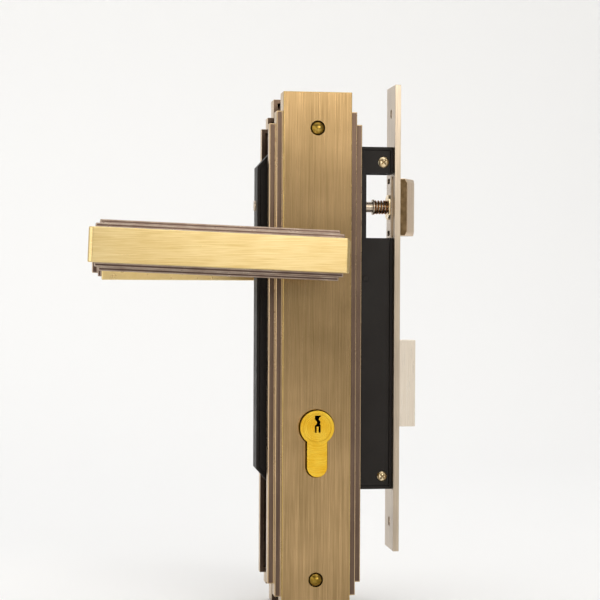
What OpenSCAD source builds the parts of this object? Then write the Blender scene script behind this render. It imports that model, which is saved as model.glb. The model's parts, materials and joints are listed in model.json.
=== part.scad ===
// Lever handle lockset: a mortise lock case with its forend, sprung latch and deadbolt,
// two stepped backplates, two stepped lever handles and a euro-profile cylinder.
// X points out of the door edge, Y through the door to the rear side, Z up.
// The origin is on the forend's outer face, midway between its two screw holes.

/* [Layout] */
// Distance from the forend's outer face to the spindle and cylinder axes
backset = 45; // [45:1:50]
// Distance between the spindle axis and the cylinder axis
centres = 85; // [82:1:88]
// Height of the spindle axis above the middle of the forend
spindle_z = 31; // [29:1:33]
// Height of the latch axis above the spindle axis
latch_rise = 26; // [25:0.5:28]
// Height of the deadbolt's middle above the cylinder axis
bolt_rise = 20.5; // [19:0.5:21]
// Distance between the two backplates, the door's thickness
door_t = 27.5; // [25:0.5:45]

/* [Forend] */
// Height of the forend
forend_h = 238; // [230:1:260]
// Width of the forend
forend_w = 22; // [20:1:25]
// Thickness of the forend
forend_t = 3; // [2.5:0.5:4]
// Distance of each forend screw hole from the forend's end
forend_hole_in = 14; // [10:1:18]
// Diameter of the two forend screw holes
forend_hole_d = 4.8; // [4:0.2:5.2]

/* [Lock case] */
// Height of the case
case_h = 175; // [170:1:178]
// Thickness of the case through the door
case_t = 14; // [13.5:0.5:16]
// Distance from the spindle axis to the back of the case
case_back = 28; // [28:1:34]
// Thickness of the tray's floor and rim
case_wall = 1.5; // [1.2:0.1:1.8]
// Thickness of the lid
lid_t = 1.2; // [1:0.1:1.5]
// Length of the back corner chamfer along X
chamfer_x = 10; // [8:1:12]
// Length of the back corner chamfer along Z
chamfer_z = 11; // [8:1:12]
// Height of the latch window through the case
window_h = 33; // [32.5:0.5:35]
// How far the window's middle is above the latch axis
window_rise = 0.5; // [0:0.1:0.5]
// Depth of the latch window behind the forend
window_d = 12.4; // [12:0.2:14]

/* [Latch] */
// Height of the latch head
latch_h = 29.4; // [24:0.2:29.6]
// Thickness of the latch head
latch_t = 10.4; // [9:0.2:10.4]
// Distance that the latch head stands out of the forend
latch_out = 10.1; // [10:0.1:13]
// Diameter of the latch rod
latch_rod_d = 5.4; // [5:0.2:6]
// Travel of the latch
latch_travel = 10; // [9:0.5:10.5]
// Half of the angle that the levers turn through
lever_half_turn = 20; // [20:1:22]

/* [Deadbolt] */
// Height of the deadbolt head
bolt_h = 44.4; // [36:0.4:45]
// Thickness of the deadbolt head
bolt_t = 10; // [8:0.2:10.4]
// Distance that the half thrown deadbolt stands out of the forend
bolt_out = 9.4; // [9:0.1:9.8]
// Travel of the deadbolt each way from half thrown
bolt_travel = 10; // [9:0.5:10]
// Thickness of the deadbolt's tail plate
tail_t = 3; // [2:0.5:4]

/* [Cylinder] */
// Diameter of the round part of the cylinder
cyl_d = 17; // [17:0.1:17.4]
// Height of the cylinder's profile
cyl_h = 33; // [32.5:0.1:33.5]
// Width of the cylinder's lower part
cyl_w = 10; // [9.8:0.1:10.4]
// Distance that the cylinder stands out of each backplate
cyl_out = 2.7; // [1:0.1:5]
// Diameter of the plugs
plug_d = 14; // [13:0.2:14]
// Number of pin stacks on each side
pin_count = 5; // [3:1:5]
// Outer reach of the cam from the cylinder axis
cam_reach = 15; // [14.5:0.1:15.2]

/* [Backplates] */
// Height of the narrow front tier
front_tier_h = 261; // [250:1:280]
// Width of the narrow front tier
front_tier_w = 34.5; // [34:0.5:38]
// Distance from the door to the narrow front tier's face
front_tier_d = 12; // [11:0.5:16]
// Height of the middle tier
mid_tier_h = 242; // [236:1:248]
// Width of the middle tier
mid_tier_w = 40.7; // [39:0.1:43]
// Distance from the door to the middle tier's face
mid_tier_d = 9.2; // [8:0.1:10]
// Height of the wide back tier
back_tier_h = 230; // [200:1:234]
// Width of the wide back tier
back_tier_w = 47; // [44:0.5:50]
// Distance from the door to the wide back tier's face
back_tier_d = 6; // [4:0.5:7]
// Wall thickness of the backplates
plate_wall = 2; // [1.5:0.1:2.5]
// Distance from the spindle axis down to the backplates' middle
plate_drop = 48.6; // [46:0.2:51]
// Distance between the two through bolts
bolt_pitch = 225; // [218:1:232]
// Diameter of the round heads of the through bolts
cap_d = 6.8; // [6:0.2:8]

/* [Lever handles] */
// Distance from a backplate's face to the lever's outer face
lever_reach = 48; // [44:1:60]
// Length of the lever's outer tier
outer_grip_l = 122.3; // [110:0.1:140]
// Height of the lever's outer tier
outer_grip_h = 16.5; // [12:0.1:18]
// Depth of the lever's outer tier
outer_grip_d = 3.5; // [3:0.1:5]
// Length of the lever's middle tier
mid_grip_l = 116.7; // [108:0.1:136]
// Height of the lever's middle tier
mid_grip_h = 20.3; // [18.7:0.1:22]
// Depth of the lever's middle tier
mid_grip_d = 3.5; // [3:0.1:5]
// Length of the lever's inner tier
inner_grip_l = 113.1; // [106:0.1:134]
// Height of the lever's inner tier
inner_grip_h = 24; // [22.2:0.1:30]
// Depth of the lever's inner tier
inner_grip_d = 4; // [3:0.1:6]
// Distance that the outer tier reaches past the spindle axis towards the door edge
grip_heel = 8.6; // [7:0.1:12]
// Diameter of the lever's neck
neck_d = 17; // [16:0.5:18]
// Diameter of the lever's shank where it turns in the bush
shank_d = 15; // [14:0.5:15.5]
// Size of the square spindle
spindle_w = 8; // [7:1:8]
// How much shorter the rear lever's grip is at its tip
rear_grip_cut = 4; // [0:0.5:8]
// Upward tilt of the front lever's tip at rest
front_tilt = 2.2; // [0:0.1:3]

/* [Fits] */
// Radial clearance of a part that turns in a bore
run = 0.06; // [0.03:0.01:0.1]
// Clearance around a part that slides in an opening
slide = 0.3; // [0.2:0.05:0.4]
// Clearance of the cylinder in the case
case_gap = 0.4; // [0.3:0.1:0.6]
// Clearance of the cylinder in the backplates' cut-outs
plate_gap = 0.5; // [0.4:0.1:1]

/* [Hidden] */
$fn = 48;
eps = 0.01;
// Cuts reach this far past a wall
over = 1;

forend_pitch = forend_h - 2 * forend_hole_in;

// Axes
axis_x = -backset;
cyl_z = spindle_z - centres;
latch_z = spindle_z + latch_rise;
window_low = latch_z + window_rise - window_h / 2;
window_high = latch_z + window_rise + window_h / 2;
bolt_z = cyl_z + bolt_rise;

// Case
case_front = -forend_t;
case_rear = -backset - case_back;
inner_front = case_front - case_wall;
inner_back = case_rear + case_wall;
inner_y = case_t / 2 - case_wall;
lid_out = inner_y + lid_t;
corner_l = sqrt(chamfer_x * chamfer_x + chamfer_z * chamfer_z);
screw_inset = 7.8;
screw_spots = [
    [case_front - 5.1, case_h / 2 - screw_inset],
    [case_front - 5.1, -case_h / 2 + 6.5],
    [axis_x - 16, spindle_z - 27]
];
screw_head_ds = [6, 5.5, 5.5];
post_r = 2.6;
case_rivet_r = 2.8;
case_screw_r = 1.6;
rivet_spot = [case_front - 14, spindle_z - 10.6];

// Plates: the height, width and depth of each tier
tier_a = [front_tier_h, front_tier_w, front_tier_d];
tier_b = [mid_tier_h, mid_tier_w, mid_tier_d];
tier_c = [back_tier_h, back_tier_w, back_tier_d];
plate_back = door_t / 2;
plate_face = plate_back + front_tier_d;
plate_mid = spindle_z - plate_drop;
bush_r = shank_d / 2 + 3;
cap_sink = 2.6;
cap_seat = 0.8;
cap_dome_h = 2.4;
sleeve_r = 2.9;
through_r = 2;

// Cylinder
cyl_r = cyl_d / 2;
cyl_half = plate_face + cyl_out;
cyl_drop = cyl_h - cyl_r;
plug_r = plug_d / 2;
cam_gap = 6;
cam_half = 4.9;
clip_t = 0.8;
cam_hub_r = cyl_r - 0.1;
cam_tip_r = 2.75;
cam_play = 0.9;
cyl_screw_z = cyl_z - 20.25;
cyl_screw_r = 2.5;
pin_r = 1.45;
pin_pitch = 4;
keyway_low = 2.5;

// Handle: the length, height and depth of each tier of the grip
grip_a = [outer_grip_l, outer_grip_h, outer_grip_d];
grip_b = [mid_grip_l, mid_grip_h, mid_grip_d];
grip_c = [inner_grip_l, inner_grip_h, inner_grip_d];
hub_r = 10;
trunnion_r = 7.4;
arm_r = latch_travel / (2 * sin(lever_half_turn));
arm_tip_r = 2.5;
arm_w = 3;
lever_face = plate_face + lever_reach;
grip_back = lever_face - grip_a[2] - grip_b[2] - grip_c[2];
shank_end = plate_back + 1;
flange_t = 1.5;
bush_in = plate_face - plate_wall - flange_t;
groove_w = 1.2;
groove_in = bush_in - 0.3 - groove_w;
flat_half = shank_d / 2 - 1.5;
cam_disc_r = 11;
cam_disc_t = 2.6;
spindle_half = plate_face + 16;
grub_y = plate_face + 9;

// Latch
flange_x = case_front - 0.2;
latch_flange_t = 0.8;
collar_t = 0.9;
head_spring_l = 7;
ring_t = 0.8;
collar_x = flange_x - latch_flange_t;
spring_x = collar_x - collar_t;
ring_x = spring_x - head_spring_l;
rod_r = latch_rod_d / 2;
yoke_gap = 0.1;
yoke_x = axis_x + arm_r * sin(lever_half_turn) - arm_tip_r - yoke_gap;
yoke_t = 3;
yoke_hub_l = 5.5;
guide_x = yoke_x + 14;
rod_tail = 1;

// Deadbolt
head_back = -24;
tail_front = -12.2;
tail_low = cyl_z + cam_hub_r + 0.6;
tail_top = bolt_z + bolt_h / 2 - 2.2;
tail_back = axis_x - 13;
notch_top = cyl_z + cam_reach + 1;
pin_spots = [[axis_x + 7, tail_top - 5], [axis_x + 1, notch_top + 8]];
guide_r = 2;
guide_play = 0.15;
detent_x = axis_x + 3;
detent_d = 1.4;
leaf_t = 0.5;

black = "#27221e";
nickel = "#e3e0dc";
brass = "#c8a258";
steel = "#b9b6ae";
bronze = "#a5713a";
spring_steel = "#8d8a84";

// A block between two opposite corners
module block(a, b) { translate(a) cube(b - a); }

// A round bar along Y
module bar_y(x, z, y0, y1, r) {
    translate([x, y0, z]) rotate([-90, 0, 0]) cylinder(r = r, h = y1 - y0);
}

// A round bar along X
module bar_x(z, x0, x1, r) { translate([x0, 0, z]) rotate([0, 90, 0]) cylinder(r = r, h = x1 - x0); }

// An XZ outline given thickness along Y
module slab(y0, y1) { translate([0, y1, 0]) rotate([90, 0, 0]) linear_extrude(y1 - y0) children(); }

// Points of a round wire swept along a helix about Z, from z = 0 to z = l
function helix_ring(r, w, a, z, sides) = [
    for (i = [0 : sides - 1])
        let (b = 360 * i / sides, q = r + w * cos(b))
        [q * cos(a), q * sin(a), z + w * sin(b)]
];

// A wire coil about Z between z = 0 and z = l, wire ends included
module coil(r, wire_r, l, turns, steps = 16, sides = 6) {
    n = round(turns * steps);
    rise = l - 2 * wire_r;
    rings = [for (k = [0 : n]) helix_ring(r, wire_r, 360 * k / steps, wire_r + rise * k / n, sides)];
    walls = [
        for (k = [0 : n - 1], i = [0 : sides - 1])
            let (j = (i + 1) % sides, a = k * sides, b = a + sides)
            [a + i, b + i, b + j, a + j]
    ];
    head = [for (i = [0 : sides - 1]) i];
    tail = [for (i = [sides - 1 : -1 : 0]) n * sides + i];
    polyhedron([for (g = rings) each g], concat([head, tail], walls), convexity = 10);
}

// A coil along X from x1 down to x0
module coil_x(z, x0, x1, r, wire_r, turns) {
    translate([x0, 0, z]) rotate([0, 90, 0]) coil(r, wire_r, x1 - x0, turns);
}

// Case outline in XZ, its rim moved in by rim and its front edge by front
function case_outline(rim, front) = let (
    x0 = case_rear + rim,
    x1 = case_rear + chamfer_x + rim * (corner_l - chamfer_x) / chamfer_z,
    z1 = case_h / 2 - rim,
    z0 = case_h / 2 - chamfer_z - rim * (corner_l - chamfer_z) / chamfer_x,
    xf = case_front - front
) [[xf, -z1], [xf, z1], [x1, z1], [x0, z0], [x0, -z0], [x1, -z1]];

// Euro profile about the cylinder axis, grown by g
module euro(g) {
    half = cyl_w / 2 + g;
    translate([axis_x, cyl_z]) {
        circle(r = cyl_r + g);
        translate([-half, -cyl_drop + cyl_w / 2]) square([2 * half, cyl_drop - cyl_w / 2]);
        translate([0, -cyl_drop + cyl_w / 2]) circle(r = half);
    }
}

// The openings that the case's two faces share
module face_openings(y0, y1) {
    bar_y(axis_x, spindle_z, y0, y1, trunnion_r + run);
    slab(y0, y1) euro(case_gap);
    block([inner_front - window_d, y0, window_low], [case_front + over, y1, window_high]);
}

// Latch and deadbolt openings through the forend and the case's front wall
module edge_openings(x0, x1) {
    block([x0, -latch_t / 2 - slide, latch_z - latch_h / 2 - slide],
          [x1, latch_t / 2 + slide, latch_z + latch_h / 2 + slide]);
    block([x0, -bolt_t / 2 - slide, bolt_z - bolt_h / 2 - slide],
          [x1, bolt_t / 2 + slide, bolt_z + bolt_h / 2 + slide]);
}

// The forend's rivets: one above the latch, one between the two bolts, one below the cylinder
rivet_zs = [case_h / 2 - 7.5, (bolt_z + bolt_h / 2 + latch_z - latch_h / 2) / 2, -case_h / 2 + 22];
rivet_r = 1.5;
rivet_head_t = 0.8;

module forend() {
    color(nickel) difference() {
        block([-forend_t, -forend_w / 2, -forend_h / 2], [0, forend_w / 2, forend_h / 2]);
        edge_openings(-forend_t - over, over);
        for (s = [-1, 1]) {
            bar_x(s * forend_pitch / 2, -forend_t - over, over, forend_hole_d / 2);
            translate([eps, 0, s * forend_pitch / 2]) rotate([0, -90, 0])
                cylinder(r1 = 0.9 * forend_hole_d, r2 = forend_hole_d / 2, h = 0.4 * forend_hole_d);
        }
        bar_x(cyl_screw_z, -forend_t - over, over, cyl_screw_r + 0.2);
        translate([eps, 0, cyl_screw_z]) rotate([0, -90, 0])
            cylinder(r1 = cyl_screw_r * 1.8, r2 = cyl_screw_r, h = cyl_screw_r * 0.8);
        for (z = rivet_zs) bar_x(z, -forend_t - over, over, rivet_r + 0.05);
    }
}

module case_tray() {
    color(black) difference() {
        slab(-case_t / 2, case_t / 2) polygon(case_outline(0, 0));
        slab(-case_t / 2 - over, inner_y) polygon(case_outline(case_wall, case_wall));
        face_openings(inner_y - over, case_t / 2 + over);
        edge_openings(inner_front - over, case_front + over);
        block([inner_front, -case_t, window_low], [case_front + over, case_t, window_high]);
        bar_x(cyl_screw_z, inner_front - over, case_front + over, cyl_screw_r + 0.4);
        bar_x(latch_z, case_rear - over, inner_back + over, rod_r + run);
        for (z = rivet_zs) bar_x(z, inner_front - over, case_front + over, rivet_r + 0.05);
    }
}

module case_lid() {
    color(black) difference() {
        slab(-lid_out, -inner_y) polygon(case_outline(case_wall + 0.2, case_wall + 0.2));
        face_openings(-lid_out - over, -inner_y + over);
        for (p = screw_spots) bar_y(p[0], p[1], -lid_out - over, -inner_y + over, case_screw_r + 0.2);
        bar_y(rivet_spot[0], rivet_spot[1], -lid_out - over, -inner_y + over, case_screw_r + 0.05);
    }
}

// A cross recess cut from the outer end of a screw head that faces -Y
module cross_recess(y, l, w, depth, turn) {
    translate([0, y, 0]) rotate([0, turn, 0])
        for (a = [0, 90]) rotate([0, a, 0]) block([-l / 2, -over, -w / 2], [l / 2, depth, w / 2]);
}

// A low domed head whose flat side is at y = 0 and whose top faces -Y
module dome_head(r, h) {
    ball = (r * r + h * h) / (2 * h);
    rotate([90, 0, 0]) intersection() {
        translate([0, 0, h - ball]) sphere(r = ball);
        cylinder(r = r, h = h);
    }
}

module case_screws() {
    color("#d9c7a0") for (i = [0 : len(screw_spots) - 1])
        translate([screw_spots[i][0], -lid_out, screw_spots[i][1]]) difference() {
            union() {
                dome_head(screw_head_ds[i] / 2, 1.6);
                bar_y(0, 0, 0, 8, case_screw_r);
            }
            cross_recess(-1.6, 0.6 * screw_head_ds[i], 0.8, 1.1, 45);
        }
}

module case_posts() {
    color(steel) for (p = screw_spots) difference() {
        bar_y(p[0], p[1], -inner_y, inner_y, post_r);
        bar_y(p[0], p[1], -inner_y - over, inner_y - 2, case_screw_r);
    }
}

module case_rivet() {
    color(black) {
        bar_y(rivet_spot[0], rivet_spot[1], -inner_y, inner_y, case_rivet_r);
        bar_y(rivet_spot[0], rivet_spot[1], -lid_out - 0.3, -inner_y, case_screw_r);
    }
}

module forend_rivets() {
    color(nickel) for (z = rivet_zs) {
        bar_x(z, inner_front, 0, rivet_r);
        bar_x(z, inner_front - rivet_head_t, inner_front, rivet_r + 1);
    }
}

module latch_guide() {
    color(steel) difference() {
        block([guide_x - 2, -inner_y + 0.3, latch_z - 9], [guide_x, inner_y, latch_z + 9]);
        bar_x(latch_z, guide_x - 2 - over, guide_x + over, rod_r + run);
    }
}

module bolt_guide_pins() {
    color(steel) for (p = pin_spots) {
        bar_y(p[0], p[1], -inner_y + 0.3, inner_y, guide_r);
        bar_y(p[0], p[1], tail_t / 2 + 0.2, inner_y, guide_r + 1.2);
    }
}

// The leaf spring's path in XZ, from its anchor to its free end
anchor_spot = [axis_x + 22, tail_top + 9];
leaf_path = [
    [anchor_spot[0] + 3, anchor_spot[1]], [anchor_spot[0] - 3, anchor_spot[1]],
    [detent_x + 3.2, tail_top + 4], [detent_x, tail_top + 0.3 - detent_d],
    [detent_x - 2, tail_top + 2.4], [detent_x - 4, tail_top + 3.4]
];

module bolt_detent_spring() {
    n = len(leaf_path);
    color(spring_steel) slab(-2, 2) polygon(concat(
        leaf_path, [for (i = [n - 1 : -1 : 0]) leaf_path[i] + [0, leaf_t]]));
}

module detent_anchor() {
    color(steel) difference() {
        bar_y(anchor_spot[0], anchor_spot[1], -inner_y + 0.3, inner_y, 2.2);
        block([anchor_spot[0] - 3, -2.1, anchor_spot[1] - 0.05],
              [anchor_spot[0] + 3.1, 2.1, anchor_spot[1] + leaf_t + 0.05]);
    }
}

module cylinder_body() {
    color(brass) difference() {
        slab(-cyl_half, cyl_half) euro(0);
        bar_y(axis_x, cyl_z, -cyl_half - over, cyl_half + over, plug_r + run);
        block([axis_x - cyl_d, -cam_gap, cyl_z - cam_reach - 0.3],
              [axis_x + cyl_d, cam_gap, cyl_z + cyl_d]);
        bar_x(cyl_screw_z, axis_x - cyl_d, axis_x + cyl_d, cyl_screw_r);
        for (s = [-1, 1], i = [0 : pin_count - 1])
            translate([axis_x, s * pin_y(i), cyl_z - cyl_drop + 2])
                cylinder(r = pin_r + 0.1, h = cyl_drop - plug_r);
    }
}

// Distance of a pin stack from the middle of the cylinder
function pin_y(i) = cam_gap + 4 + pin_pitch * i;

module cylinder_screw() {
    color(steel) difference() {
        union() {
            bar_x(cyl_screw_z, axis_x - cyl_w / 2 + 1, -0.2, cyl_screw_r - 0.05);
            translate([-0.2, 0, cyl_screw_z]) rotate([0, -90, 0])
                cylinder(r1 = cyl_screw_r * 1.7, r2 = cyl_screw_r - 0.05, h = cyl_screw_r * 0.7);
        }
        for (a = [0, 90]) translate([0, 0, cyl_screw_z]) rotate([a, 0, 0])
            block([-1.4, -1.6, -0.4], [over, 1.6, 0.4]);
    }
}

driver_l = 5;
key_pin_top = -plug_r + 0.2;

module driver_pins() {
    color(bronze) for (s = [-1, 1], i = [0 : pin_count - 1])
        translate([axis_x, s * pin_y(i), cyl_z - plug_r - 0.15 - driver_l]) cylinder(r = pin_r, h = driver_l);
}

module pin_springs() {
    low = -cyl_drop + 2.1;
    high = -plug_r - 0.2 - driver_l;
    color(spring_steel) for (s = [-1, 1], i = [0 : pin_count - 1])
        translate([axis_x, s * pin_y(i), cyl_z + low]) coil(pin_r - 0.35, 0.3, high - low, 6, 8, 4);
}

// The keyway in XZ about the cylinder axis: a hooked head, a slanting neck and two prongs
module keyway() {
    translate([axis_x, cyl_z]) polygon([
        [-1.2, 6.1], [1.9, 6.1], [1.9, 5.6], [1, 5.1], [0.8, 4], [1.7, 3.1], [1.4, 1.9], [1.7, 1.3],
        [1.7, -keyway_low], [0.7, -keyway_low], [0.7, 0.6], [-0.3, 0.6], [-0.3, -keyway_low],
        [-1.2, -keyway_low], [-1.2, 1.2], [-0.3, 1.8], [-0.1, 2.9], [-1.2, 4.1]
    ]);
}

// The front plug, which the rear plug mirrors
module plug() {
    color(brass) difference() {
        union() {
            bar_y(axis_x, cyl_z, -cyl_half + 0.2, -cam_gap + 0.05, plug_r);
            bar_y(axis_x, cyl_z, -cam_gap, -cam_half - 0.1, plug_r - 1);
        }
        slab(-cyl_half - over, -cam_half) keyway();
        for (i = [0 : pin_count - 1])
            translate([axis_x, -pin_y(i), cyl_z - plug_r - over])
                cylinder(r = pin_r + 0.05, h = plug_r + over - 1.5);
    }
}

module key_pins() {
    color(bronze) for (i = [0 : pin_count - 1])
        translate([axis_x, -pin_y(i), cyl_z + key_pin_top])
            cylinder(r = pin_r, h = -key_pin_top - keyway_low - 0.1);
}

module plug_clip() {
    color(spring_steel) difference() {
        bar_y(axis_x, cyl_z, -cam_gap + 0.1, -cam_gap + 0.1 + clip_t, plug_r + 0.8);
        bar_y(axis_x, cyl_z, -cam_gap - over, -cam_gap + 2, plug_r - 1 + 0.05);
        block([axis_x - 2.5, -cam_gap - over, cyl_z - plug_r - 2], [axis_x + 2.5, -cam_gap + 2, cyl_z - 4]);
    }
}

module front_plug() { plug(); }
module front_key_pins() { key_pins(); }
module front_plug_clip() { plug_clip(); }
module rear_plug() { mirror([0, 1, 0]) plug(); }
module rear_key_pins() { mirror([0, 1, 0]) key_pins(); }
module rear_plug_clip() { mirror([0, 1, 0]) plug_clip(); }

clutch_r = 4;

module cam() {
    tip = cam_reach - cam_tip_r;
    color(steel) slab(-cam_half, cam_half) translate([axis_x, cyl_z]) difference() {
        union() {
            circle(r = cam_hub_r);
            translate([0, tip]) circle(r = cam_tip_r);
            translate([-cam_tip_r, 0]) square([2 * cam_tip_r, tip]);
        }
        circle(r = clutch_r + run);
    }
}

module clutch() {
    color(bronze) difference() {
        bar_y(axis_x, cyl_z, -cam_half + 0.5, cam_half - 0.5, clutch_r);
        for (y = [-cam_half, cam_half - 2.5])
            block([axis_x - 0.75, y, cyl_z - clutch_r], [axis_x + 0.75, y + 2.5, cyl_z + clutch_r]);
    }
}

// One tier of the backplate, drawn in by cut on every side but the back
module plate_tier(tier, cut) {
    half_w = tier[1] / 2 - cut;
    half_h = tier[0] / 2 - cut;
    block([axis_x - half_w, -plate_back - tier[2] + cut, plate_mid - half_h],
          [axis_x + half_w, -plate_back + (cut > 0 ? over : 0), plate_mid + half_h]);
}

cap_zs = [plate_mid + bolt_pitch / 2, plate_mid - bolt_pitch / 2];
boss_r = cap_d / 2 + 2.2;
cap_r = cap_d / 2;
cap_gap = 0.25;

// The front backplate, which the rear one mirrors
module plate() {
    color(brass) difference() {
        union() {
            difference() {
                for (t = [tier_a, tier_b, tier_c]) plate_tier(t, 0);
                for (t = [tier_a, tier_b, tier_c]) plate_tier(t, plate_wall);
            }
            for (z = cap_zs) bar_y(axis_x, z, -plate_face + 0.5, -plate_back, boss_r);
        }
        bar_y(axis_x, spindle_z, -plate_face - over, -plate_back + over, bush_r);
        slab(-plate_face - over, -plate_back + over) euro(plate_gap);
        for (z = cap_zs) {
            bar_y(axis_x, z, -plate_face - over, -plate_back + over, sleeve_r + 0.1);
            bar_y(axis_x, z, -plate_face - over, -plate_face + cap_sink, cap_r + cap_gap);
        }
    }
}

module front_plate() { plate(); }
module rear_plate() { mirror([0, 1, 0]) plate(); }

// The bush that the front lever's shank turns in
module bush() {
    color("#d8d4c8") difference() {
        union() {
            bar_y(axis_x, spindle_z, -plate_face + 0.1, -plate_face + plate_wall + 0.1, bush_r - 0.05);
            bar_y(axis_x, spindle_z, -plate_face + plate_wall, -bush_in, bush_r + 1.8);
        }
        bar_y(axis_x, spindle_z, -plate_face - over, -bush_in + over, shank_d / 2 + run);
    }
}

module front_bush() { bush(); }
module rear_bush() { mirror([0, 1, 0]) bush(); }

module sleeve_nuts() {
    color("#6b4c1a") for (z = cap_zs) translate([axis_x, 0, z]) difference() {
        union() {
            translate([0, -plate_face + cap_seat, 0]) dome_head(cap_r, cap_dome_h);
            bar_y(0, 0, -plate_face + cap_seat, -plate_face + cap_sink, cap_r);
            bar_y(0, 0, -plate_face + cap_sink, plate_back - 3, sleeve_r);
        }
        bar_y(0, 0, -plate_back, plate_back, through_r);
    }
}

module through_screws() {
    color("#6b4c1a") for (z = cap_zs) translate([axis_x, 0, z]) difference() {
        union() {
            mirror([0, 1, 0]) translate([0, -plate_face + cap_seat, 0]) dome_head(cap_r, cap_dome_h);
            bar_y(0, 0, plate_face - cap_sink, plate_face - cap_seat, cap_r);
            bar_y(0, 0, -plate_back + 1, plate_face - cap_sink, through_r);
        }
        mirror([0, 1, 0]) cross_recess(-plate_face + cap_seat - cap_dome_h, 4, 0.9, 1.6, 0);
    }
}

lever_coil_r = cam_disc_r + 1.6;
lever_wire_r = 0.7;

module lever_spring() {
    y0 = -bush_in + 0.5;
    y1 = -plate_back - 0.6;
    color(spring_steel) translate([axis_x, y0, spindle_z]) rotate([-90, 0, 0])
        coil(lever_coil_r, lever_wire_r, y1 - y0, 3.5, 24, 6);
}

module front_lever_spring() { lever_spring(); }
module rear_lever_spring() { mirror([0, 1, 0]) lever_spring(); }

// One tier of the lever's grip, its tip shortened by cut, between two distances from the door's middle
module grip_tier(tier, shift, cut, y0, y1) {
    block([shift - tier[0] + cut, -y0, -tier[1] / 2], [shift, -y1, tier[1] / 2]);
}

// The front lever about the spindle axis, its grip turned tip up by tilt and shortened by cut
module lever(tilt, cut) {
    b_face = lever_face - grip_a[2];
    c_face = b_face - grip_b[2];
    heel_b = grip_heel - 0.45 * (grip_a[0] - grip_b[0]);
    heel_c = grip_heel - 0.45 * (grip_a[0] - grip_c[0]);
    color("#e3c98a") translate([axis_x, 0, spindle_z]) difference() {
        union() {
            rotate([0, tilt, 0]) {
                grip_tier(grip_a, grip_heel, cut, lever_face, b_face);
                grip_tier(grip_b, heel_b, cut, b_face + eps, c_face);
                grip_tier(grip_c, heel_c, cut, c_face + eps, grip_back);
            }
            bar_y(0, 0, -grip_back - 1, -plate_face - 0.3, neck_d / 2);
            difference() {
                bar_y(0, 0, -plate_face - 0.4, -shank_end, shank_d / 2);
                difference() {
                    bar_y(0, 0, -groove_in - groove_w, -groove_in, shank_d);
                    bar_y(0, 0, -plate_face, -shank_end + over, shank_d / 2 - 0.8);
                }
                for (s = [-1, 1]) translate([0, 0, s * (flat_half + shank_d / 2)])
                    block([-shank_d, -groove_in, -shank_d / 2], [shank_d, -shank_end + over, shank_d / 2]);
            }
        }
        half = spindle_w / 2 + 0.05;
        block([-half, -spindle_half - 0.5, -half], [half, 0, half]);
        translate([0, -grub_y, -neck_d]) cylinder(r = 2.5, h = neck_d);
    }
}

module front_lever() { lever(front_tilt, 0); }
module rear_lever() { mirror([0, 1, 0]) lever(0, rear_grip_cut); }

module spindle() {
    half = spindle_w / 2;
    color(steel) block([axis_x - half, -spindle_half, spindle_z - half],
                       [axis_x + half, spindle_half, spindle_z + half]);
}

module follower() {
    half = spindle_w / 2 + 0.05;
    color(steel) translate([axis_x, 0, spindle_z]) difference() {
        union() {
            bar_y(0, 0, -inner_y + 0.3, inner_y - 0.3, hub_r);
            bar_y(0, 0, -lid_out, case_t / 2, trunnion_r);
            rotate([0, lever_half_turn, 0]) slab(-3, 3) {
                translate([-arm_w / 2, 0]) square([arm_w, arm_r]);
                translate([0, arm_r]) circle(r = arm_tip_r);
            }
        }
        block([-half, -case_t, -half], [half, case_t, half]);
    }
}

module grub_screw() {
    tip = spindle_w / 2 + 0.02;
    color(steel) translate([axis_x, -grub_y, spindle_z - neck_d / 2 + 0.3]) difference() {
        cylinder(r = 2.45, h = neck_d / 2 - 0.3 - tip);
        translate([0, 0, -over]) cylinder(r = 1.4, h = over + 1.8, $fn = 6);
    }
}

module front_grub_screw() { grub_screw(); }
module rear_grub_screw() { mirror([0, 1, 0]) grub_screw(); }

module circlip() {
    color(spring_steel) difference() {
        bar_y(axis_x, spindle_z, -groove_in - groove_w + 0.05, -groove_in - 0.05, shank_d / 2 + 2.2);
        bar_y(axis_x, spindle_z, -groove_in - 2 * groove_w, -groove_in + over, shank_d / 2 - 0.75);
        block([axis_x - 2.5, -groove_in - 2 * groove_w, spindle_z - shank_d],
              [axis_x + 2.5, -groove_in + over, spindle_z]);
    }
}

module front_circlip() { circlip(); }
module rear_circlip() { mirror([0, 1, 0]) circlip(); }

module spring_cam() {
    y0 = -groove_in + 0.2;
    color(steel) difference() {
        bar_y(axis_x, spindle_z, y0, y0 + cam_disc_t, cam_disc_r);
        intersection() {
            bar_y(axis_x, spindle_z, y0 - over, y0 + cam_disc_t + over, shank_d / 2 + 0.05);
            block([axis_x - shank_d, y0 - over, spindle_z - flat_half - 0.05],
                  [axis_x + shank_d, y0 + cam_disc_t + over, spindle_z + flat_half + 0.05]);
        }
        bar_y(axis_x, spindle_z + cam_disc_r - 1.8, y0 - over, y0 + cam_disc_t + over, 0.9);
    }
}

module front_spring_cam() { spring_cam(); }
module rear_spring_cam() { mirror([0, 1, 0]) spring_cam(); }

// Where the latch head's slope starts, how thick its tip is, and how far its edges are broken
slope_x = 4.8;
nose = 1.7;
edge_cut = 2.3;
edge_lean = 66;

module latch_head() {
    half = latch_t / 2;
    slope = atan2(latch_t - nose, latch_out - slope_x);
    color("#b99b82") translate([0, 0, latch_z]) difference() {
        translate([0, 0, -latch_h / 2]) linear_extrude(latch_h)
            polygon([[flange_x, -half], [slope_x, -half], [latch_out, half - nose],
                     [latch_out, half], [flange_x, half]]);
        for (s = [-1, 1]) translate([slope_x, -half, s * (latch_h / 2 - edge_cut)]) rotate([0, 0, slope])
            rotate([s * edge_lean, 0, 0]) block([-10, -8, s > 0 ? 0 : -10], [20, 12, s > 0 ? 10 : 0]);
    }
}

// The round-ended slot at each end of the latch's flange
slot_r = 1.4;
slot_half = 2;
slot_z = latch_h / 2 - 1.3;

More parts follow.
